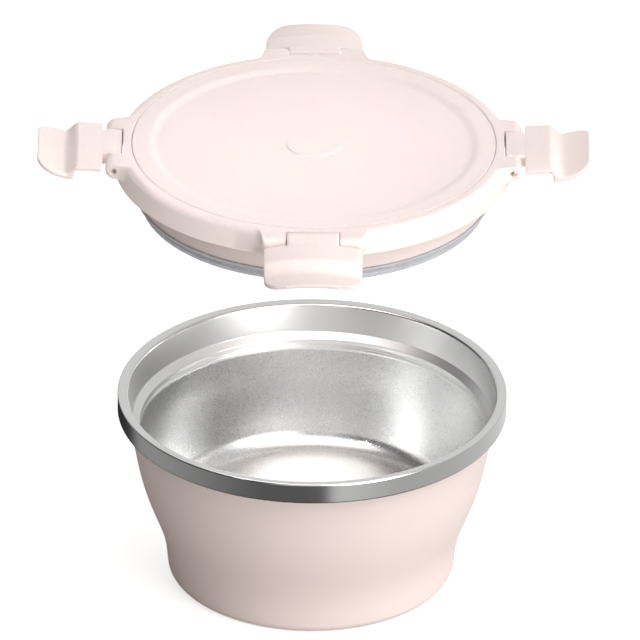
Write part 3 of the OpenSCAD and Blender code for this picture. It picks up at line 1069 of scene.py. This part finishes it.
    def plan(self) -> tuple[Array, Array]:
        """Plan of a quarter of the ring with its boss, and the outward normals.

        It runs straight along the boss's front, round its corner, round the fillet that meets
        the ring, and on along the ring to an eighth of a turn, on both sides alike.

        Returns:
            Points (x, y) of the plan and the unit normals there, one per row.
        """
        pin = self.hinge
        body = self.ring_r - self.ring_lean / 2
        half, nose = pin.boss_w / 2, pin.pin_r + pin.barrel_r
        centre_y = half + self.boss_fillet
        centre = np.array([math.sqrt((body + self.boss_fillet) ** 2 - centre_y ** 2), centre_y])
        front_n, corner_n, fillet_n, ring_n = self.plan_steps
        along_front = np.linspace(0, half - self.boss_corner, front_n)[:-1]
        front = np.stack([np.full(len(along_front), nose), along_front], axis=1)
        corner = [nose - self.boss_corner, half - self.boss_corner] + self.boss_corner * circle(
            np.linspace(0, math.pi / 2, corner_n))
        meet = math.pi + math.atan2(centre[1], centre[0])
        fillet = centre + self.boss_fillet * circle(np.linspace(1.5 * math.pi, meet, fillet_n))
        start = math.atan2(fillet[-1, 1], fillet[-1, 0])
        upper = np.concatenate([front, corner, fillet,
                                body * circle(np.linspace(start, math.pi / 4, ring_n)[1:])])
        path = np.concatenate([upper[1:-1][::-1] * [1, -1], upper])
        along = np.gradient(path, axis=0)
        normal = np.stack([along[:, 1], -along[:, 0]], axis=1)
        return path, normal / np.linalg.norm(normal, axis=1, keepdims=True)

    def quarter(self) -> Array:
        """Surface of a quarter of the ring, as points by station and by place in the section.

        Below the boss the outer side is the ring's own at the station's angle. Beside the pin
        the boss's plan (x, y) becomes x = pin + (x - pin) sqrt(1 - (rise / barrel)^2) in front
        of the pin, with its end faces rounded at their edges, and along the fillet it turns
        into the ring's side by a smooth step of how far the plan stands out.

        Returns:
            Points from the lid's seat, by station, place in the section and coordinate.
        """
        pin = self.hinge
        path, normal = self.plan()
        away = np.linalg.norm(path, axis=1, keepdims=True)
        unit = path / away
        out = away - (self.ring_r - self.ring_lean / 2)
        share = np.clip(out / self.boss_blend, 0, 1)
        share = share * share * (3 - 2 * share)

        turn = np.radians([0.0, 30.0, 60.0, 90.0])
        low = np.concatenate([self.ring_bottom + self.ring_round * (1 - np.cos(turn)),
                              self.side_z, [self.boss_z - self.side_gap]])
        inset = np.concatenate([self.ring_round * (1 - np.sin(turn)), np.zeros(3)])
        skirt = unit[:, None] * (self.side_r(low) - inset)[None, :, None]

        rise = pin.barrel_r * np.sin(np.radians(np.linspace(*self.boss_arc)))
        high = pin.pin_z + rise
        squeeze = np.sqrt(np.clip(1 - (rise / pin.barrel_r) ** 2, 0, 1))
        x = np.where(path[:, :1] > pin.pin_r, pin.pin_r + (path[:, :1] - pin.pin_r) * squeeze,
                     path[:, :1])
        boss = np.stack([x, np.broadcast_to(path[:, 1:], x.shape)], axis=2)
        near = np.clip(np.abs(rise) - (pin.barrel_r - self.boss_edge), 0, self.boss_edge)
        soft = self.boss_edge - np.sqrt(self.boss_edge ** 2 - near ** 2)
        boss = boss - (normal * np.abs(normal[:, 1:]))[:, None] * soft[None, :, None]
        plain = unit[:, None] * (self.side_r(high)[None] + out)[:, :, None]
        nose = plain + (boss - plain) * share[:, None]

        joint = (self.joint_r + self.ring_round) * unit
        across = np.linspace(0, 1, 5)[1:-1][None, :, None]
        top = nose[:, -1:] + (joint[:, None] - nose[:, -1:]) * across
        web = self.ring_top - self.web_t
        under = self.ring_top - self.panel_t
        flange = self.flange_z + self.flange_t
        inner = eased(rounded([
            (self.ring_r, self.ring_top), (self.joint_r, self.ring_top, self.ring_round),
            (self.joint_r, under), (self.leg_r, under), (self.leg_r, flange),
            (self.leg_r + self.ring_wall, flange), (self.leg_r + self.ring_wall, web),
            (self.ring_r - self.ring_lean - self.ring_wall, web, self.web_round),
            (self.ring_r - self.ring_wall, self.ring_bottom, self.foot_round),
            (self.ring_r - self.ring_round, self.ring_bottom)])[1:-1], STEP)
        channel = unit[:, None] * inner[None, :, :1]
        levels = np.concatenate([low, high, np.full(3, self.ring_top), inner[:, 1]])
        flat = np.concatenate([skirt, nose, top, channel], axis=1)
        return np.concatenate([flat, np.broadcast_to(levels[None, :, None],
                                                     (*flat.shape[:2], 1))], axis=2)

    def add_block(self, work: bmesh.types.BMesh, turn: Matrix, low: Point, high: Point) -> None:
        """Adds a block between two corners, turned about the lid's axis.

        Args:
            work: The mesh that gets the block.
            turn: The turn about the lid's axis.
            low: One corner, in millimetres from the lid's seat.
            high: The corner opposite.
        """
        low, high = Vector(low), Vector(high)
        place = Matrix.Translation(((low + high) / 2 + Vector((0, 0, self.seat_z))) * MM)
        size = Matrix.Diagonal((*((high - low) * MM), 1))
        bmesh.ops.create_cube(work, size=1.0, matrix=turn @ place @ size)

    def cutters(self) -> Piece:
        """Blocks for the tongues' slots and rods for the pins' recesses, as one mesh.

        Returns:
            One object, which the ring removes once it is cut.
        """
        pin = self.hinge
        work = bmesh.new()
        back = pin.pin_r - pin.barrel_r - self.slot_gap
        half = self.slot_w / 2
        reach, foot, top = self.slot_cut
        for side in Side:
            turn = side.turn(4)
            self.add_block(work, turn, (back, -half, foot), (back + reach, half, top))
            for end in (-1, 1):
                place = Vector((pin.pin_r, end * pin.boss_w / 2, self.seat_z + pin.pin_z)) * MM
                rod = Matrix.Translation(place) @ Matrix.Rotation(math.pi / 2, 4, "X")
                bmesh.ops.create_cone(work, cap_ends=True, segments=pin.around, matrix=turn @ rod,
                                      radius1=pin.sink_r * MM, radius2=pin.sink_r * MM,
                                      depth=2 * pin.sink * MM)
        mesh = bpy.data.meshes.new("cutters")
        work.to_mesh(mesh)
        work.free()
        return linked("cutters", mesh)

    def ring(self) -> Piece:
        """The ring with its four bosses, slots and pin recesses.

        The slots are cut out, and behind the skin blocks fill the bosses' ears and the wall
        at the back of each slot.

        Returns:
            The piece, which rides on the lid.
        """
        quarter = self.quarter()
        turns = [np.array(side.turn(3)) for side in Side]
        grid = np.concatenate([quarter @ turn.T for turn in turns]) + [0, 0, self.seat_z]
        piece = new_mesh("lid_rim_ring", grid.reshape(-1, 3),
                         grid_quads(*grid.shape[:2], closed=True))
        cutter = self.cutters()
        cut = piece.modifiers.new("slots", "BOOLEAN")
        cut.operation, cut.solver, cut.object = "DIFFERENCE", "EXACT", cutter
        ready = piece.evaluated_get(bpy.context.evaluated_depsgraph_get())
        mesh = bpy.data.meshes.new_from_object(ready)
        piece.modifiers.clear()
        piece.data = mesh
        bpy.data.objects.remove(cutter)

        pin, wall = self.hinge, self.ring_wall
        back = pin.pin_r - pin.barrel_r - self.slot_gap - self.skin
        near, far = self.slot_w / 2 + self.skin, pin.boss_w / 2 - pin.sink
        top = self.ring_top - self.skin_top
        low = self.ring_bottom + self.skin_low
        blocks = [((back - wall, -near - wall, low), (back, near + wall, top))]
        blocks += [((back - wall, a, self.boss_z), (pin.pin_r, b, top))
                   for a, b in ((near, far), (-far, -near))]
        work = bmesh.new()
        work.from_mesh(mesh)
        for side in Side:
            for low, high in blocks:
                self.add_block(work, side.turn(4), low, high)
        work.to_mesh(mesh)
        work.free()
        smooth(mesh, self.sharp)
        return carry(piece, "lid", "pink_plastic", "lid_ring", self.finishes.plastic)

    def pin(self, side: Side) -> Piece:
        """A hinge pin with chamfered ends, turned about its own axis and laid on the hinge.

        Args:
            side: The side of the lid.

        Returns:
            The piece, which rides on the lid.
        """
        half = self.hinge.boss_w / 2 - self.hinge.sink
        r, bevel = self.hinge.wire_r, self.hinge.chamfer
        path: list[Corner] = [(0.0, -half), (r - bevel, -half), (r, -half + bevel),
                              (r, half - bevel), (r - bevel, half), (0.0, half)]
        outline = eased(rounded(path), 4.0, hold=0.1)
        points, quads, tris = lathe(outline, False, self.hinge.around)
        laid = points[:, [0, 2, 1]] * np.array([1.0, -1.0, 1.0])
        laid += np.array([self.hinge.pin_r, 0.0, self.seat_z + self.hinge.pin_z])
        turn = np.array(side.turn(3))
        piece = new_mesh(f"pin_{side.label}", laid @ turn.T, quads, tris)
        return carry(piece, "lid", "pin_steel", f"hinge_pin_{side.label}", self.finishes.wire)

    def build(self) -> None:
        """Builds the lid's pieces."""
        for make in (self.ring, self.panel, self.cap, self.plug, self.seal):
            make()
        for side in Side:
            self.pin(side)
        dress(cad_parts["lid_core"], self.finishes.foam)


@dataclass
class Clip:
    """One snap clip. Its section is drawn closed, as (distance from the axis, height)."""

    finishes: Finishes
    lid: Lid
    width: float = 42.4
    tab_width: float = 40.4
    thick: float = 2.1
    tab_thick: float = 2.0
    edge: float = 5.0
    length: float = 33.14
    tab_in_r: float = 83.7
    hook_z: float = -9.7
    step_lead: float = 0.5
    step_l: float = 4.2
    flare: float = 2.9
    bend: float = 3.0
    tip_round: float = 0.8
    # Roundings of the plate's top, outside and inside, and of the hook's nose and corner.
    top_round: float = 0.6
    top_in_round: float = 0.5
    nose_round: float = 0.3
    hook_round: float = 0.8
    corner: float = 8.5
    edge_corner: float = 1.0
    edge_round: float = 0.6
    tongue_w: float = 22.5
    tongue_back: float = 1.5
    # How far the tongue reaches into the plate, and stays behind its face.
    tongue_sink: float = 1.0
    tongue_skin: float = 0.02
    # Width and depth of the rounding of the tongue's sides.
    tongue_round: float = 0.3
    tongue_in: float = 0.25
    heel: float = 3.15
    heel_out: float = 3.55
    heel_round: float = 0.35
    # Points along each side of the section, across the flat and round a side's edge.
    along: int = 120
    across: int = 33
    round_steps: int = 6

    @property
    def out_r(self) -> float:
        """Outer radius of the closed plate."""
        return self.lid.hinge.pin_r + self.lid.hinge.barrel_r

    def section(self) -> Array:
        """Closed section of plate, hook and finger tab.

        Its outer side runs down to the tip and its inner side back up, with as many points on
        each, spaced evenly along its length.

        Returns:
            Points (distance from the axis, height), one per row.
        """
        pin_z = self.lid.hinge.pin_z
        in_r = self.out_r - self.thick
        tab_out = self.tab_in_r + self.tab_thick
        step = self.hook_z + self.step_lead
        tip_z = pin_z - self.length
        tip_r = tab_out + self.flare
        top = pin_z - self.edge
        mid_r, mid_tip = (in_r + self.out_r) / 2, tip_r - self.tab_thick / 2
        sides: list[list[Corner]] = [
            [(mid_r, top), (self.out_r, top, self.top_round), (self.out_r, step, self.bend),
             (tab_out, step - self.step_l, self.bend), (tip_r, tip_z, self.tip_round),
             (mid_tip, tip_z)],
            [(mid_tip, tip_z), (tip_r - self.tab_thick, tip_z, self.tip_round),
             (self.tab_in_r, step - self.step_l, self.bend),
             (self.tab_in_r, self.hook_z, self.nose_round), (in_r, self.hook_z, self.hook_round),
             (in_r, top, self.top_in_round), (mid_r, top)]]
        spaced = []
        for side in sides:
            path = rounded(side)
            run = np.concatenate([[0], np.cumsum(np.linalg.norm(np.diff(path, axis=0), axis=1))])
            at = np.linspace(0, run[-1], self.along + 1)[:-1]
            spaced.append(np.stack([np.interp(at, run, path[:, c]) for c in (0, 1)], axis=1))
        return np.roll(np.concatenate(spaced)[::-1], 1, axis=0)

    def half_width(self, height: Array) -> Array:
        """Half the clip's width at each height.

        It narrows evenly from the hook to the tip, less r - sqrt(r^2 - d^2) within the corner
        radius r of either end, where d is the distance into the corner.

        Args:
            height: Heights from the lid's seat, in millimetres.

        Returns:
            Half the width at each.
        """
        pin_z = self.lid.hinge.pin_z
        top, tip = pin_z - self.edge, pin_z - self.length
        share = np.clip((self.hook_z - height) / (self.hook_z - tip), 0, 1)
        half = self.width / 2 + (self.tab_width - self.width) / 2 * share
        for end, radius in ((tip, self.corner), (top, self.edge_corner)):
            into = np.clip(radius - np.abs(height - end), 0, radius)
            half = half - (radius - np.sqrt(radius ** 2 - into ** 2))
        return half

    def body(self) -> tuple[Array, Array, Array]:
        """Carries the section across the width.

        At share t of the half width the point (r, z) lies at y = t times the half width and
        x = sqrt(r^2 - y^2). Near either side the section shrinks by e (1 - cos b) while y
        nears the side as e (1 - sin b), for b from 0 to a quarter turn, which rounds the edge.

        Returns:
            Vertices, quads and triangles.
        """
        section = self.section()
        ends = np.roll(section, -1, axis=0) - np.roll(section, 1, axis=0)
        normal = np.stack([ends[:, 1], -ends[:, 0]], axis=1)
        normal /= np.linalg.norm(normal, axis=1, keepdims=True)
        normal *= np.sign(area(section))
        bend = np.linspace(0, math.pi / 2, self.round_steps)
        e, flat, side = self.edge_round, np.zeros(self.across), np.ones(self.round_steps)
        off, shrink = (np.concatenate([e * (1 - wave[::-1]), flat, e * (1 - wave)])
                       for wave in (np.sin(bend), np.cos(bend)))
        share = np.concatenate([-side, np.linspace(-1, 1, self.across + 2)[1:-1], side])
        inset = section[None] - normal[None] * shrink[:, None, None]
        half = self.half_width(section[:, 1])[None] - e
        y = share[:, None] * half + np.sign(share)[:, None] * (e - off)[:, None] * (
            np.abs(share)[:, None] >= 1)
        x = np.sqrt(inset[:, :, 0] ** 2 - y ** 2)
        points = np.stack([x, y, inset[:, :, 1]], axis=2)
        rows, cols = points.shape[:2]
        a = np.arange(cols // 2)
        b = (a + 1) % cols
        cap = np.stack([a, b, (-b) % cols, (-a) % cols], axis=1)[1:]
        tips = np.array([[0, 1, cols - 1], cap[-1, [0, 1, 3]]])
        last = (rows - 1) * cols
        quads = np.concatenate([grid_quads(rows, cols), cap[:-1], cap[:-1, ::-1] + last])
        return points.reshape(-1, 3), quads, np.concatenate([tips, tips[:, ::-1] + last])

    def tongue(self) -> tuple[Array, Array, list[list[int]]]:
        """The barrel with its heel, and the tongue that joins it to the plate.

        The barrel's points are centre + radius (cos a, sin a), and the section is a little
        smaller at both sides. Below the barrel a point (r, z) lies at x = sqrt(r^2 - y^2), so
        that the tongue's foot follows the plate.

        Returns:
            Vertices, quads and the two end faces.
        """
        pin_r, pin_z = self.lid.hinge.pin_r, self.lid.hinge.pin_z
        centre = np.array([pin_r, pin_z])
        barrel = self.lid.hinge.barrel_r
        low = pin_z - self.edge - self.tongue_sink
        start = 1.5 * math.pi - math.asin(self.tongue_back / barrel)
        first, last = math.asin(self.heel / barrel), math.acos(self.heel_out / barrel)
        back, rise, drop = (centre + barrel * circle(angle) for angle in (
            np.linspace(start, math.pi / 2, 40), np.linspace(math.pi / 2, first, 4)[1:],
            np.linspace(last, 0, 3)))
        heel = rounded([tuple(rise[-1]), (pin_r + self.heel_out, pin_z + self.heel,
                                          self.heel_round), tuple(drop[0])])
        foot = np.array([[self.out_r - self.tongue_skin, low],
                         [pin_r - self.tongue_back, low]])
        outline = eased(np.concatenate([back, rise[:-1], heel, drop[1:], foot]), 2.0, 0.2,
                        closed=True)
        if area(outline) < 0:
            outline = outline[::-1]
        half, soft = self.tongue_w / 2, self.tongue_round
        y = np.concatenate([[-half], np.linspace(-half + soft, half - soft, 17), [half]])
        shrink = np.ones(len(y))
        shrink[[0, -1]] = 1 - self.tongue_in / barrel
        grid = centre + (outline - centre)[None] * shrink[:, None, None]
        below = outline[:, 1] < pin_z - barrel
        x = grid[:, :, 0].copy()
        x[:, below] = np.sqrt(grid[:, below, 0] ** 2 - y[:, None] ** 2)
        points = np.stack([x, np.repeat(y[:, None], len(outline), 1), grid[:, :, 1]], axis=2)
        rows, cols = points.shape[:2]
        caps = [list(range(cols)), [(rows - 1) * cols + c for c in range(cols)][::-1]]
        return points.reshape(-1, 3), grid_quads(rows, cols), caps

    def build(self, side: Side) -> Piece:
        """Builds the clip on one side, swung open about its pin.

        Args:
            side: The side of the lid.

        Returns:
            The piece, which rides on the clip's own body.
        """
        points, quads, tris = self.body()
        more, more_quads, caps = self.tongue()
        shift = len(points)
        points = np.concatenate([points, more])
        quads = np.concatenate([quads, more_quads + shift])
        caps = [[c + shift for c in cap] for cap in caps]
        pin = np.array([self.lid.hinge.pin_r, 0.0, self.lid.hinge.pin_z])
        swing = np.array(Matrix.Rotation(side.hang - math.pi / 2, 3, "Y"))
        turn = np.array(side.turn(3))
        points = ((points - pin) @ swing.T + pin + [0, 0, self.lid.seat_z]) @ turn.T
        piece = new_mesh(f"snap_clip_{side.label}", points, quads, tris, caps)
        return carry(piece, f"{side.label}_clip", "pink_plastic", f"clip_{side.label}",
                     self.finishes.plastic)


@dataclass(frozen=True)
class Lamp:
    """A round soft box. Place, width and target in millimetres, power in watts."""

    name: str
    place: Point
    width: float
    power: float
    target: Point = (0.0, 0.0, 100.0)
    # Full angle of its beam in degrees, and the kinds of ray that don't meet it.
    spread: float = 180.0
    unseen: tuple[str, ...] = ("camera",)

    def build(self) -> None:
        """Hangs the lamp."""
        data = bpy.data.lights.new(self.name, "AREA")
        data.spread = math.radians(self.spread)
        data.shape = "DISK"
        data.size = self.width * MM
        data.energy = self.power
        lamp = linked(self.name, data)
        place = Vector(self.place)
        lamp.location = place * MM
        lamp.rotation_euler = (Vector(self.target) - place).to_track_quat("-Z", "Y").to_euler()
        for kind in self.unseen:
            setattr(lamp, f"visible_{kind}", False)


@dataclass(frozen=True)
class Studio:
    """Plain pale floor, soft lamps, pale surroundings and the camera."""

    aim: Point = (3.2, 0.0, 121.8)
    pitch: float = 28.45
    roll: float = 0.4
    distance: float = 6800.0
    lens: float = 878.0
    sensor: float = 36.0
    # Nearest and farthest distance that the camera sees, in metres.
    clip: tuple[float, float] = (0.1, 100.0)
    floor_half: float = 3000.0
    # The floor's colour and glow for the camera, and its colour for all other rays.
    floor_seen: str = "#f4f3f2"
    floor_glow: float = 0.6
    floor_dim: str = "#cbc6c4"
    # Brightness of the surroundings by azimuth, seen in gloss: 0 and 1 are the back, a quarter
    # is the left, a half the front and three quarters the right.
    low_cards: tuple[tuple[float, float], ...] = (
        (0.0, 0.01), (0.08, 0.015), (0.122, 0.025), (0.15, 0.155), (0.175, 0.17),
        (0.239, 0.163), (0.323, 0.118), (0.413, 0.059), (0.524, 0.056), (0.536, 0.34),
        (0.553, 0.34), (0.648, 0.247), (0.749, 0.273), (0.863, 0.35), (0.922, 0.405),
        (1.0, 0.465))
    high_cards: tuple[tuple[float, float], ...] = (
        (0.0, 0.42), (0.1, 0.38), (0.16, 0.07), (0.22, 0.03), (0.41, 0.02), (0.435, 0.1),
        (0.455, 0.55), (0.49, 0.2), (0.53, 0.3), (0.565, 1.8), (0.645, 2.1), (0.675, 0.36),
        (0.7, 0.3), (0.75, 0.28), (0.9, 0.38), (1.0, 0.42))
    gloss_strength: float = 1.7
    even_left: float = 0.08
    even_right: float = 1.1
    # Brightness straight below, where the low cards end.
    below: float = 0.01
    # Heights on the unit sphere between which below gives way to the low cards, and those to
    # the high ones.
    low_edge: tuple[float, float] = (-0.9, -0.6)
    high_edge: tuple[float, float] = (-0.12, 0.05)
    # The soft light grows from left to right between these places on the unit sphere.
    even_edge: tuple[float, float] = (-0.9, 0.9)
    lamps: tuple[Lamp, ...] = (
        Lamp("key_box", (700, -800, 1500), 1000, 10),
        Lamp("lid_box", (-770, -580, 1349), 150, 0.025, (-12, -10, 200), spread=9),
        Lamp("fill_box", (1150, -1850, 60), 1200, 24),
        Lamp("back_box", (-300, 2300, 250), 1000, 26, unseen=("camera", "glossy")),
        Lamp("mouth_light", (-6, -6, 168), 122, 0.06, (-4, 0, 0), unseen=("camera", "diffuse")))

    def camera(self) -> None:
        """Sets the camera on the photograph's line of sight, with its slight roll."""
        pitch, roll = math.radians(self.pitch), math.radians(self.roll)
        forward = Vector((0, math.cos(pitch), -math.sin(pitch)))
        up = Vector((0, math.sin(pitch), math.cos(pitch)))
        right = Vector((1, 0, 0))
        side = right * math.cos(roll) + up * math.sin(roll)
        top = up * math.cos(roll) - right * math.sin(roll)
        place = (Vector(self.aim) - forward * self.distance) * MM
        data = bpy.data.cameras.new("camera")
        data.lens = self.lens
        data.sensor_width = self.sensor
        data.clip_start, data.clip_end = self.clip
        camera = linked("camera", data)
        turn = Matrix((side, top, -forward)).transposed().to_4x4()
        camera.matrix_world = Matrix.Translation(place) @ turn
        bpy.context.scene.camera = camera

    def floor(self) -> None:
        """A pale floor that is white to the camera, and leaves gloss to the surroundings."""
        corners = np.array([[-1, -1, 0], [1, -1, 0], [1, 1, 0], [-1, 1, 0]])
        floor = new_mesh("floor", corners * self.floor_half, np.array([[0, 1, 2, 3]]))
        material = bpy.data.materials.new("pale_floor")
        add = partial(add_node, fresh_tree(material))
        pale = add("BsdfDiffuse", {"Color": srgb(self.floor_seen)})
        glow = add("Emission", {"Color": WHITE, "Strength": self.floor_glow})
        both = add("AddShader", {0: pale, 1: glow})
        dim = add("BsdfDiffuse", {"Color": srgb(self.floor_dim)})
        path = add("LightPath").outputs
        add("OutputMaterial", {"Surface": add(
            "MixShader", {0: path["Is Camera Ray"], 1: dim, 2: both})})
        dress(floor, material)
        floor.visible_glossy = False

    def surroundings(self) -> None:
        """White for the camera, soft light that grows from left to right, and cards for gloss.

        For gloss the brightness follows one of two ramps over the azimuth, the angle of
        (x, -y) from the front, divided by a full turn and shifted by a half. One ramp serves
        below the horizon and the other above it.
        """
        world = bpy.data.worlds.new("studio")
        bpy.context.scene.world = world
        add = partial(add_node, fresh_tree(world))
        x, y, z = add("SeparateXYZ", {0: add("TexCoord").outputs["Generated"]}).outputs
        minus = add("Math", {0: y, 1: -1.0}, operation="MULTIPLY")
        turn = add("Math", {0: x, 1: minus}, operation="ARCTAN2")
        share = add("Math", {0: turn, 1: 1 / (2 * math.pi), 2: 0.5}, operation="MULTIPLY_ADD")
        low, high = (add("ValToRGB", {0: share}, stops) for stops in (
            self.low_cards, self.high_cards))
        above, steep = (add("MapRange", {"Value": z, "From Min": a, "From Max": b})
                        for a, b in (self.high_edge, self.low_edge))
        dark = (self.below, self.below, self.below, 1)
        under = add("Mix", {"Factor": steep, 6: dark, 7: low}, data_type="RGBA").outputs[2]
        gloss = add("Mix", {"Factor": above, 6: under, 7: high}, data_type="RGBA").outputs[2]
        left, right = self.even_edge
        side = add("MapRange", {"Value": x, "From Min": left, "From Max": right,
                                "To Min": self.even_left, "To Max": self.even_right})
        even, shine, white = (
            add("Background", {"Color": colour, "Strength": strength})
            for colour, strength in ((WHITE, side), (gloss, self.gloss_strength), (WHITE, 1.0)))
        path = add("LightPath").outputs
        first = add("MixShader", {0: path["Is Glossy Ray"], 1: even, 2: shine})
        second = add("MixShader", {0: path["Is Camera Ray"], 1: first, 2: white})
        add("OutputWorld", {"Surface": second})

    def build(self) -> None:
        """Builds the studio."""
        self.camera()
        self.floor()
        self.surroundings()
        for lamp in self.lamps:
            lamp.build()
        bpy.context.scene.view_settings.view_transform = "Standard"


def main() -> None:
    """Builds the object and its studio."""
    logging.basicConfig(level=logging.INFO, format="%(name)s: %(message)s")
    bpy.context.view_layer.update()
    finishes = Finishes()
    Studio().build()
    Bowl(finishes).build()
    lid = Lid(finishes, Hinge())
    lid.build()
    for side in Side:
        Clip(finishes, lid).build(side)


if __name__ == "__main__":
    main()
